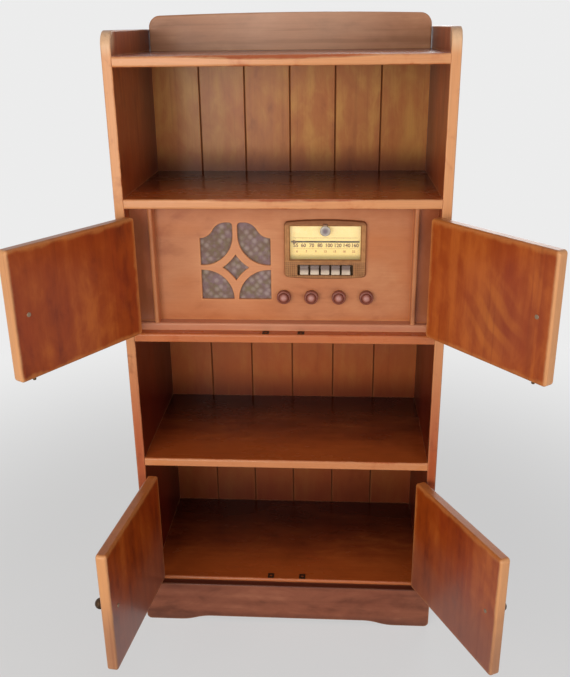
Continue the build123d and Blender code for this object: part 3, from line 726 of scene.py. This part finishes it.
@dataclass
class Case:
    """The boards of the case."""

    front: float = -0.377
    shelves: tuple[str, ...] = ("top", "upper", "radio", "middle", "bottom")
    shelf_wear: tuple[float, ...] = (0.85, 0.85, 0.22, 0.6, 0.25)
    sides: tuple[tuple[str, float], ...] = (("left_side", -0.345), ("right_side", 0.345))
    board_tones: tuple[float, ...] = (0.25, 0.1, 0.15, 0.25, 0.25, 0.3)
    upper_bay_floor: float = 1.06
    # Where the painted shade above each shelf starts, and how high it reaches.
    shaded_feet: tuple[tuple[float, float], ...] = ((1.072, 0.07), (0.452, 0.09), (0.115, 0.2))
    # The pale of the front faces: partly wear, partly a painted highlight where they face the lamps.
    worn: Colour = (226, 160, 108)
    crest_wood: StainedWood = StainedWood(
        "crest_wood", (142, 90, 56), (192, 134, 98), (222, 168, 128), (200, 130, 86),
        wear=0.3, blotch=0.7,
    )
    side_wood: StainedWood = StainedWood(
        "side_wood", (116, 44, 16), (158, 72, 28), (184, 98, 44), (146, 54, 20)
    )
    shelf_wood: StainedWood = StainedWood(
        "shelf_wood", (98, 36, 18), (146, 64, 30), (186, 98, 46), (124, 44, 18),
        gloss=0.26, coat=0.3, streak=0.14,
    )
    board_wood: StainedWood = StainedWood(
        "board_wood", (142, 78, 34), (184, 112, 54), (204, 146, 72), (184, 94, 42),
        wear=0.15,
    )
    apron_wood: StainedWood = StainedWood(
        "apron_wood", (104, 54, 34), (142, 82, 58), (170, 106, 78), (128, 62, 38),
        wear=0.3,
    )

    def dress(self) -> None:
        """Stain the boards, each from its own part of the log."""
        self._shelves()
        self._crest_and_apron()
        self._sides()
        self._back()

    def _shelves(self) -> None:
        """Stain the shelves, with painted light in front, painted shade behind, and a pale nosing,
        partly worn, partly a painted highlight.
        """
        # Painted shade: each shelf top darkens towards the back, where the shelf above shades it.
        painted_shade_behind = Patina(
            "Y", -0.31, -0.05, (84, 56, 96), most=0.9, patches=0.05, scale=12, mode="MULTIPLY"
        )
        # Painted light: the front of each shelf top is warmer and lighter where the lamps reach it.
        painted_light_in_front = Patina("Y", -0.20, -0.34, (204, 100, 40), most=0.6, patches=0.1, scale=10)
        start = self.front + 0.0045
        end = self.front + 0.0005
        for draw, (name, share) in enumerate(zip(self.shelves, self.shelf_wear)):
            node = f"{name}_shelf"
            # Pale nosing: partly wear, partly a painted highlight on the lit front face.
            rubbed = Patina("Y", start, end, self.worn, most=share, patches=0.0095, scale=22)
            layers = (painted_light_in_front, painted_shade_behind, rubbed)
            dress(node, self.shelf_wood.cut(node, Grain.ALONG.value, draw, layers=layers))

    def _crest_and_apron(self) -> None:
        """Stain the crest, with a painted highlight, and the apron, grimy at the floor, with painted
        shade on its top.
        """
        # Painted highlight on the crest.
        glare = Halo((0.02, -0.02, 1.42), 0.05, 0.3, (255, 214, 186), most=0.3)
        crest = self.crest_wood.cut("crest_rail", Grain.ALONG.value, 8, layers=(glare,))
        dress("crest_rail", crest)
        grime = Patina("Z", 0.035, 0.0, (72, 40, 30), most=0.6, patches=0.02, scale=30)
        shade_above = Patina("Z", 0.104, 0.1075, (84, 34, 22), most=0.9)
        layers = (grime, shade_above)
        dress("base_apron", self.apron_wood.cut("base_apron", Grain.ALONG.value, 9, -0.1, layers))

    def _sides(self) -> None:
        """Stain the sides, with painted shade in the low bays and behind, darker towards the bottom, and
        pale at the front, partly worn, partly a painted highlight.
        """
        # Painted shade on the inner walls of the low bays.
        painted_shade_low = Patina(
            "Z", 0.79, 0.72, (150, 92, 96), most=0.8, patches=0.02, scale=12, mode="MULTIPLY"
        )
        # Painted shade, deeper towards the back of the bays.
        painted_gloom = Patina(
            "Y", -0.24, -0.02, (140, 110, 96), most=0.85, patches=0.06, scale=10, mode="MULTIPLY"
        )
        # Darker towards the bottom.
        darker_below = Patina(
            "Z", 0.90, 0.44, (200, 140, 122), most=0.95, patches=0.1, scale=8, mode="MULTIPLY"
        )
        start = self.front + 0.0035
        end = self.front + 0.0005
        # Pale front faces of the sides: partly wear, partly a painted highlight.
        side_front_wear_and_highlight = Patina("Y", start, end, self.worn, most=0.95, patches=0.0085, scale=22)
        for draw, (node, middle) in enumerate(self.sides, start=20):
            # Paler at the rounded top front corner: some wear, and a painted highlight.
            handled = Halo((middle, -0.372, 1.392), 0.008, 0.042, (236, 196, 156), most=0.85)
            layers = (painted_shade_low, painted_gloom, side_front_wear_and_highlight, handled, darker_below)
            dress(node, self.side_wood.cut(node, Grain.UPRIGHT.value, draw, layers=layers))

    def _back(self) -> None:
        """Stain the back boards, with painted shade in the lower bays and just above the shelves, dark
        in their joints and raw behind.
        """
        floor = self.upper_bay_floor
        # Painted shade: below the upper bay the boards are darker and redder.
        deep = Patina("Z", floor, floor - 0.1, (162, 72, 40), most=0.62)
        joint = Patina("Y", -0.01185, -0.0108, (84, 40, 22), most=0.85)
        raw = Patina("Y", -0.003, -0.001, (186, 146, 106), most=0.8)
        # Painted shade just above each shelf.
        dust = [Shadow(foot, rise) for foot, rise in self.shaded_feet]
        layers = (deep, *dust, joint, raw)
        for draw, tone in enumerate(self.board_tones, start=1):
            node = f"back_board_{draw}"
            dress(node, self.board_wood.cut(node, Grain.UPRIGHT.value, 30 + draw, tone, layers))


@dataclass
class Doors:
    """The four doors, with their knobs and fittings."""

    names: tuple[str, ...] = ("upper_left", "upper_right", "lower_left", "lower_right")
    tones: tuple[float, ...] = (-0.15, 0.25, -0.2, 0.05)
    wood: StainedWood = StainedWood(
        "door_wood", (116, 40, 12), (160, 68, 18), (190, 98, 36), (150, 50, 18),
        staves=0.047, wear=0.75,
    )
    rim: Colour = (204, 128, 66)
    flame_centre: Point = (0.432, -0.545, 0.872)
    leaf_inset: float = 0.057
    leaf_face: float = 0.00075
    screw_pitch: float = 0.017
    screw_depth: float = 0.0135
    screw_stagger: float = 0.004
    screw_turn: float = 0.9

    def joint(self, name: str) -> dict:
        """The hinge joint of a door, from the frame."""
        return next(j for j in frame["joints"] if j["name"] == f"{name}_door_hinge")

    def side(self, name: str) -> int:
        """Which side a door hangs on, -1 for the left and 1 for the right."""
        return -1 if name.endswith("left") else 1

    def shut(self, name: str) -> Matrix:
        """Turn a door from where it stands open to closed.

        Args:
            name: The door.

        Returns:
            The matrix, in the object's frame.
        """
        joint = self.joint(name)
        pin = Vector(joint["pos_m"])
        closed = math.radians(joint["range_deg"][0]) * joint["axis"][2]
        return Matrix.Translation(pin) @ Matrix.Rotation(closed, 4, "Z") @ Matrix.Translation(-pin)

    def dress(self) -> None:
        """Stain the doors and finish what is screwed to them."""
        brass = AgedMetal("hinge_brass", (140, 106, 66), (58, 40, 26), 0.4, 0.65).make()
        for draw, (name, tone) in enumerate(zip(self.names, self.tones), start=50):
            grain = Grain.UPRIGHT.value @ self.shut(name)
            layers = self._age(name, grain)
            dress(f"{name}_door", self.wood.cut(name, grain, draw, tone, layers))
            head = Patina("Y", -0.372, -0.356, (158, 138, 116), most=0.9, turn=self.shut(name))
            bronze = ((120, 92, 66), (40, 27, 20))
            knob = AgedMetal(f"door_knob_{name}", *bronze, 0.35, 0.7, layers=(head,))
            dress(f"{name}_door_knob", knob.make())
            dress(f"{name}_door_fittings", brass)
        dress("case_hinges", brass)
        plate = AgedMetal("strike_bronze", (96, 62, 40), (48, 30, 20), 0.5, 0.7)
        dress("strike_plates", plate.make())
        self._screws(brass)

    def _age(self, name: str, grain: Matrix) -> list[Layer]:
        """What edge bands, wear, figure and painted reflection a door has.

        Args:
            name: The door.
            grain: From the object's frame to one whose X runs along the fibres.

        Returns:
            The layers, in their order.
        """
        shut = self.shut(name)
        side = self.side(name)
        low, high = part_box(f"{name}_door")
        spans = (
            ("Z", high[2] - 0.013, high[2] - 0.004, UNTURNED),
            ("Z", low[2] + 0.012, low[2] + 0.004, UNTURNED),
            ("X", side * 0.316, side * 0.325, shut),
        )
        layers: list[Layer] = [
            Patina(axis, start, end, self.rim, most=0.6, patches=0.02, scale=24, turn=turn)
            for axis, start, end, turn in spans
        ]
        start, end = side * 0.011, side * 0.0035
        worn = self.wood.worn
        layers.append(Patina("X", start, end, worn, most=0.85, patches=0.006, scale=30, turn=shut))
        if name == "upper_right":
            halo = Halo(self.flame_centre, 0.01, 0.11, (118, 44, 14), most=0.5)
            layers.append(Flame(halo, grain, (196, 112, 42)))
        if name.startswith("lower"):
            # Painted reflection: the lower doors turn greyer towards their feet.
            foot = Patina("Z", 0.34, 0.16, (138, 92, 76), most=0.55, patches=0.12, scale=9)
            layers.append(foot)
        return layers

    def _screws(self, brass: bpy.types.Material) -> None:
        """Screw the hinge leaves on, each with three slotted screws.

        Args:
            brass: The screws' finish.
        """
        pattern = SlottedScrew().make()
        for name in self.names:
            side = self.side(name)
            pin_x, pin_y = self.joint(name)["pos_m"][:2]
            low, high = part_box(f"{name}_door")
            middles = (low[2] + self.leaf_inset, high[2] - self.leaf_inset)
            steps = (-self.screw_pitch, 0.0, self.screw_pitch)
            rises = [middle + step for middle in middles for step in steps]
            depths = [pin_y + self.screw_depth + self.screw_stagger * (turn % 2) for turn in range(6)]
            for leaf, body, facing in (("case", "case", -side), ("door", f"{name}_door", side)):
                seat = pin_x - facing * self.leaf_face
                row = self._row(pattern, [(seat, y, z) for y, z in zip(depths, rises)], facing)
                if leaf == "door":
                    row.matrix_world = self.shut(name).inverted()
                    set_home(row)
                settle_in(row, f"{name}_{leaf}_leaf_screws", brass, body)
        bpy.data.objects.remove(pattern)

    def _row(self, pattern: bpy.types.Object, spots: Sequence[Point], facing: int) -> bpy.types.Object:
        """Copy a screw to several places and join the copies.

        Args:
            pattern: The screw, with its head towards +X.
            spots: Where the seats of the heads are, with the hinge shut.
            facing: 1 where the heads look to the right, -1 to the left.

        Returns:
            The joined screws.
        """
        copies = []
        for turn, spot in enumerate(spots):
            copy = pattern.copy()
            copy.data = pattern.data.copy()
            bpy.context.scene.collection.objects.link(copy)
            copy.rotation_euler = (turn * self.screw_turn, 0, 0 if facing > 0 else math.pi)
            copy.location = spot
            copies.append(copy)
        for copy in copies:
            set_home(copy)
        return joined(copies)


@dataclass
class SlottedScrew:
    """The head of a small slotted wood screw."""

    radius: float = 0.0021
    rise: float = 0.0004
    sunk: float = 0.0006
    slot_width: float = 0.0007
    sides: int = 20

    def make(self) -> bpy.types.Object:
        """Model the head at the origin, looking along +X.

        Returns:
            The head.
        """
        bpy.ops.object.select_all(action="DESELECT")
        middle = (self.rise - self.sunk) / 2
        bpy.ops.mesh.primitive_cylinder_add(
            vertices=self.sides,
            radius=self.radius,
            depth=self.rise + self.sunk,
            location=(middle, 0, 0),
            rotation=(0, math.radians(90), 0),
        )
        head = bpy.context.object
        set_home(head)
        cutter = block((self.rise, 0, 0), (self.rise, self.slot_width, self.radius * 3))
        pick_only(head)
        cut = head.modifiers.new("slot", "BOOLEAN")
        cut.operation = "DIFFERENCE"
        cut.solver = "EXACT"
        cut.object = cutter
        bpy.ops.object.modifier_apply(modifier=cut.name)
        bpy.data.objects.remove(cutter)
        return head


@dataclass
class DialPrint:
    """What is printed on the dial's plate: two scales, their ticks and plain numbers."""

    face: float = -0.3155
    ink: float = 0.0001
    left: float = 0.027
    travel: float = 0.130
    overhang: float = 0.012
    line: float = 0.0005
    line_high: float = 0.9755
    number_row: float = 0.9548
    number_size: float = 0.0112
    numbers: str = "55 60 70 80 100 120 140 160"
    shares: tuple[float, ...] = (0.0, 0.13, 0.27, 0.41, 0.56, 0.71, 0.86, 1.0)
    fine_line: float = 0.0004
    line_low: float = 0.9515
    lower_row: float = 0.9425
    lower_size: float = 0.0068
    lower_numbers: str = "6 7 9 12 15 18 22"
    lower_shares: tuple[float, ...] = (0.02, 0.18, 0.34, 0.5, 0.66, 0.82, 0.98)
    ticks: int = 27
    tick: float = 0.0016
    long_tick: float = 0.0028
    boldness: float = 0.03

    def make(self) -> None:
        """Print the plate in brown, with the lower scale in a paler orange-brown."""
        brown = Moulding("ink_brown", (112, 62, 14), (128, 76, 22), 0.6).make()
        orange = Moulding("ink_orange", (206, 122, 40), (190, 108, 34), 0.6).make()
        middle = self.left + self.travel / 2
        width = self.travel + self.overhang
        marks = [self._bar(middle, self.line_high, width, self.line)]
        for turn in range(self.ticks):
            tall = self.tick if turn % 3 else self.long_tick
            x = self.left + self.travel * turn / (self.ticks - 1)
            marks.append(self._bar(x, self.line_high - tall / 2, self.line, tall))
        for word, share in zip(self.numbers.split(), self.shares):
            marks.append(self._text(word, share, self.number_row, self.number_size))
        settle_in(joined(marks), "dial_numbers", brown, "case")
        fine = [self._bar(middle, self.line_low, width, self.fine_line)]
        for word, share in zip(self.lower_numbers.split(), self.lower_shares):
            fine.append(self._text(word, share, self.lower_row, self.lower_size))
        settle_in(joined(fine), "dial_lower_scale", orange, "case")

    def _bar(self, x: float, z: float, width: float, height: float) -> bpy.types.Object:
        """One printed line, from where its middle is, across and up, and its width and height."""
        return block((x, self.face - self.ink / 2, z), (width, self.ink, height))

    def _text(self, word: str, share: float, z: float, size: float) -> bpy.types.Object:
        """One printed number.

        Args:
            word: Its digits.
            share: How far along the scale it is, 0 to 1.
            z: Its foot, up.
            size: Its size.

        Returns:
            The number, as a mesh.
        """
        bpy.ops.object.select_all(action="DESELECT")
        x = self.left + self.travel * share
        upright = (math.radians(90), 0, 0)
        bpy.ops.object.text_add(location=(x, self.face - self.ink / 2, z), rotation=upright)
        text = bpy.context.object
        text.data.body = word
        text.data.size = size
        text.data.align_x = "CENTER"
        text.data.extrude = self.ink / 2
        text.data.offset = size * self.boldness
        text.data.resolution_u = 3
        bpy.ops.object.convert(target="MESH")
        text = bpy.context.object
        set_home(text)
        return text


@dataclass
class GrilleCloth:
    """The cloth that is stretched over the back of the fretwork."""

    low: Point = (-0.1965, -0.3170, 0.8235)
    high: Point = (-0.0165, -0.3164, 1.0230)
    cuts: int = 24
    weave: WovenCloth = WovenCloth(
        "grille_cloth", (132, 108, 98), (136, 122, 96), (144, 120, 124), (196, 182, 176)
    )

    def make(self) -> None:
        """Model the cloth in place of the plain sheet."""
        size = [b - a for a, b in zip(self.low, self.high)]
        cloth = block([(a + b) / 2 for a, b in zip(self.low, self.high)], size)
        for axis, normal in ((0, (1, 0, 0)), (2, (0, 0, 1))):
            start, end = self.low[axis], self.high[axis]
            for turn in range(1, self.cuts):
                here = start + (end - start) * turn / self.cuts
                bpy.ops.object.mode_set(mode="EDIT")
                bpy.ops.mesh.select_all(action="SELECT")
                bpy.ops.mesh.bisect(plane_co=[here * part for part in normal], plane_no=normal)
                bpy.ops.object.mode_set(mode="OBJECT")
        settle_in(cloth, "woven_grille_cloth", self.weave.make(), "case")
        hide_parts("grille_cloth")


@dataclass
class Radio:
    """The radio's front and what is behind it."""

    controls: tuple[str, ...] = ("volume", "tone", "band", "tuning")
    buttons: int = 5
    boss_centre: Point = (0.092, -0.3335, 0.99425)
    grille_centre: Point = (-0.1065, -0.324, 0.918)
    wood: StainedWood = StainedWood(
        "radio_wood", (160, 92, 58), (194, 126, 84), (208, 146, 102), (198, 114, 58),
        streak=0.14,
    )

    def dress(self) -> None:
        """Finish the panel, the dial, the controls and the inner parts."""
        self._front()
        self._dial()
        self._controls()
        self._inside()
        GrilleCloth().make()

    def _front(self) -> None:
        """Stain the panel, faded round the fretwork and with painted shade at its top, and its frame,
        with a painted highlight on the sill and painted shade on the stiles.
        """
        faded = Halo(self.grille_centre, 0.05, 0.13, (224, 158, 114), most=0.5)
        # Painted shade along the top of the panel, under the shelf above.
        painted_shade_top = Patina("Z", 1.005, 1.05, (150, 82, 46), most=0.55, patches=0.02, scale=20)
        # Painted highlight over the stop sill.
        painted_sill_highlight = Patina("Z", 0.76, 0.77, (206, 146, 122), most=0.45)
        # Painted shade over the stiles, which lie in the doors' shadow.
        painted_gloom = Patina("Z", 1.06, 1.05, (150, 78, 48), most=0.6, least=0.6)
        for node, grain, draw, tone, layers in (
            ("radio_panel", Grain.ALONG, 70, 0.0, (faded, painted_shade_top)),
            ("stop_sill", Grain.ALONG, 71, 0.1, (painted_sill_highlight,)),
            ("left_bead", Grain.UPRIGHT, 75, -0.1, ()),
            ("right_bead", Grain.UPRIGHT, 76, -0.1, ()),
            ("left_stile", Grain.UPRIGHT, 77, -0.4, (painted_gloom,)),
            ("right_stile", Grain.UPRIGHT, 78, -0.4, (painted_gloom,)),
        ):
            dress(node, self.wood.cut(node, grain.value, draw, tone, layers))

    def _dial(self) -> None:
        """Finish the dial's frame, boss, window, plate and pointer, with a painted glow on the plate."""
        top = Patina("Z", 1.004, 1.010, (112, 62, 34), most=0.75)
        reeds = Reeding(0.9255, (104, 66, 46))
        bronze = ((196, 142, 90), (104, 62, 32))
        dress(
            "escutcheon",
            AgedMetal("dial_bronze", *bronze, 0.42, 0.45, metallic=0.55, layers=(top, reeds)).make(),
        )
        neck = Patina("Z", 1.0035, 1.0065, (120, 84, 58), most=0.85)
        core = Halo(self.boss_centre, 0.002, 0.0105, (104, 90, 98), most=0.9)
        silver = ((184, 178, 168), (124, 114, 104))
        dress("dial_boss", AgedMetal("boss_silver", *silver, 0.3, 0.35, layers=(core, neck)).make())
        dress("dial_glass", Pane("dial_glass", (240, 240, 225), 0.08).make())
        faded = Patina("Z", 0.998, 0.944, (236, 206, 120), most=0.8, patches=0.01, scale=60)
        foot = Patina("Z", 0.9405, 0.930, (160, 138, 58), most=0.85)
        cream = ((250, 226, 160), (244, 216, 140))
        # Painted light: the plate glows, though no lamp is behind it.
        dress("dial_plate", Moulding("dial_cream", *cream, 0.5, glow=0.34, layers=(faded, foot)).make())
        brown = ((120, 82, 30), (92, 60, 22))
        dress("dial_pointer", Moulding("pointer_paint", *brown, 0.4).make())
        DialPrint().make()

    def _controls(self) -> None:
        """Finish the buttons, with painted shadow at their tops, the knobs, with a painted highlight on
        their faces, and their shafts.
        """
        shadow = Patina("Z", 0.9005, 0.9095, (92, 66, 60), most=0.94)
        pale = ((226, 208, 184), (208, 188, 166))
        ivory = Moulding("button_ivory", *pale, 0.24, 0.5, layers=(shadow,)).make()
        for number in range(1, self.buttons + 1):
            dress(f"station_button_{number}", ivory)
        steel = AgedMetal("bare_steel", (180, 180, 178), (110, 108, 104), 0.3, 0.35).make()
        brown = ((136, 72, 54), (114, 56, 42))
        for control in self.controls:
            low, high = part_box(f"{control}_knob")
            face = ((low[0] + high[0]) / 2, low[1], (low[2] + high[2]) / 2 + 0.002)
            # Painted highlight on the face of the knob.
            painted_knob_highlight = Halo(face, 0.002, 0.0125, (198, 142, 132), most=0.7)
            finish = Moulding(f"control_brown_{control}", *brown, 0.48, 0.2, layers=(painted_knob_highlight,))
            dress(f"{control}_knob", finish.make())
            dress(f"{control}_shaft", steel)
        dress("speaker_basket", steel)

    def _inside(self) -> None:
        """Finish the chassis and what stands on it, and the loudspeaker."""
        plate = AgedMetal("chassis_plate", (128, 104, 80), (74, 56, 42), 0.45, 0.5)
        dress("chassis", plate.make())
        black = Moulding("black_paint", (32, 31, 31), (44, 42, 41), 0.45).make()
        dress("speaker_magnet", black)
        dress("power_transformer", black)
        dress("radio_tubes", Pane("tube_glass", (208, 212, 210), 0.5).make())
        cone = Moulding("cone_paper", (42, 38, 35), (56, 50, 45), 0.8)
        dress("speaker_cone", cone.make())
        plain = Moulding("cloth_plain", (128, 108, 106), (112, 98, 92), 0.85)
        dress("grille_cloth", plain.make())


@dataclass(frozen=True)
class Lamp:
    """One soft rectangular light."""

    name: str
    spot: Point
    aim: Point
    width: float
    height: float
    power: float
    colour: Colour

    def hang(self) -> None:
        """Hang the light."""
        data = bpy.data.lights.new(self.name, "AREA")
        data.shape = "RECTANGLE"
        data.size = self.width
        data.size_y = self.height
        data.energy = self.power
        data.color = linear(self.colour)
        lamp = bpy.data.objects.new(self.name, data)
        lamp.location = self.spot
        lamp.visible_camera = False
        lamp.rotation_euler = (Vector(self.aim) - Vector(self.spot)).to_track_quat("-Z", "Y").to_euler()
        bpy.context.scene.collection.objects.link(lamp)


def rays_that_see(tree: bpy.types.NodeTree) -> Socket:
    """Tell the rays of the camera, of gloss and of glass from the others.

    Args:
        tree: The nodes of a material or of a world.

    Returns:
        1 for those rays, 0 for all others.
    """
    path = tree.nodes.new("ShaderNodeLightPath")
    seen = path.outputs["Is Camera Ray"]
    for name in ("Is Glossy Ray", "Is Transmission Ray"):
        both = tree.nodes.new("ShaderNodeMath")
        both.operation = "MAXIMUM"
        tree.links.new(seen, both.inputs[0])
        tree.links.new(path.outputs[name], both.inputs[1])
        seen = both.outputs[0]
    return seen


@dataclass
class Studio:
    """A pale floor, soft lights and the camera."""

    eye: Point = (0.1151, -2.0683, 1.4117)
    heading: float = -3.740
    tilt: float = -20.982
    roll: float = -0.743
    lens: float = 43.417
    sensor: float = 36.0
    floor_size: float = 40.0
    floor_sunk: float = 0.0003
    floor_grey: float = 0.62
    floor_middle: Point = (0.0, -0.3, 0.0)
    fade_start: float = 0.7
    fade_end: float = 2.2
    paper: float = 0.84
    ambient: float = 0.16
    lamps: tuple[Lamp, ...] = (
        Lamp("key", (-1.4, -3.1, 1.25), (0.0, -0.2, 0.85), 2.6, 1.6, 58.0, (255, 247, 236)),
        Lamp("fill", (1.9, -3.0, 1.1), (0.0, -0.2, 0.8), 2.0, 1.6, 31.0, (250, 248, 250)),
        Lamp("top", (0.2, -1.4, 3.2), (0.0, -0.3, 0.9), 1.8, 1.8, 7.0, (236, 242, 255)),
        Lamp("back", (1.2, 3.2, 2.0), (0.0, 0.0, 0.8), 2.4, 1.8, 34.0, (250, 248, 246)),
    )

    def set_up(self) -> None:
        """Build the whole stage."""
        self._camera()
        self._floor()
        self._world()
        for lamp in self.lamps:
            lamp.hang()
        bpy.context.scene.view_settings.view_transform = "Standard"

    def _camera(self) -> None:
        """Stand the camera where the photograph was taken from."""
        heading, tilt, roll = (math.radians(a) for a in (self.heading, self.tilt, self.roll))
        ahead = Vector(
            (math.sin(heading) * math.cos(tilt), math.cos(heading) * math.cos(tilt), math.sin(tilt))
        )
        level = Vector((math.cos(heading), -math.sin(heading), 0))
        above = level.cross(ahead)
        right = level * math.cos(roll) + above * math.sin(roll)
        up = above * math.cos(roll) - level * math.sin(roll)
        turn = Matrix((right, up, -ahead)).transposed()
        data = bpy.data.cameras.new("camera")
        data.lens = self.lens
        data.sensor_width = self.sensor
        data.sensor_fit = "AUTO"
        camera = bpy.data.objects.new("camera", data)
        camera.matrix_world = Matrix.LocRotScale(Vector(self.eye), turn.to_quaternion(), None)
        bpy.context.scene.collection.objects.link(camera)
        bpy.context.scene.camera = camera

    def _floor(self) -> None:
        """Lay the pale floor, which keeps the object's shadow and fades into the backdrop."""
        bpy.ops.object.select_all(action="DESELECT")
        bpy.ops.mesh.primitive_plane_add(size=self.floor_size, location=(0, 0, -self.floor_sunk))
        floor = bpy.context.object
        floor.name = "floor"
        shader = Shader("floor_paper")
        shader.surface.inputs["Base Color"].default_value = (*(self.floor_grey,) * 3, 1.0)
        shader.settle(Roughness=0.9, Specular_IOR_Level=0.1)
        share = shader.step(shader.away(self.floor_middle), self.fade_start, self.fade_end, 0.6, 1.0)
        far = shader.math("MULTIPLY", share, rays_that_see(shader.tree))
        glow = shader.node("Emission", {"Strength": self.paper})
        both = shader.node("MixShader", {0: far, 1: shader.surface.outputs[0], 2: glow.outputs[0]})
        shader.join(both.outputs[0], shader.output.inputs["Surface"])
        floor.data.materials.append(shader.material)

    def _world(self) -> None:
        """Light the room evenly, with a pale backdrop that the camera, gloss and glass see."""
        world = bpy.data.worlds.new("studio")
        world.use_nodes = True
        tree = world.node_tree
        tree.nodes.clear()
        strength = tree.nodes.new("ShaderNodeMapRange")
        tree.links.new(rays_that_see(tree), strength.inputs["Value"])
        strength.inputs["To Min"].default_value = self.ambient
        strength.inputs["To Max"].default_value = self.paper
        sky = tree.nodes.new("ShaderNodeBackground")
        tree.links.new(strength.outputs["Result"], sky.inputs["Strength"])
        out = tree.nodes.new("ShaderNodeOutputWorld")
        tree.links.new(sky.outputs[0], out.inputs["Surface"])
        sky.inputs["Color"].default_value = (1, 1, 1, 1)
        bpy.context.scene.world = world


def main() -> None:
    """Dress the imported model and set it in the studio."""
    logging.basicConfig(level=logging.INFO, format="%(name)s: %(message)s")
    Case().dress()
    Doors().dress()
    Radio().dress()
    Studio().set_up()


if __name__ == "__main__":
    main()
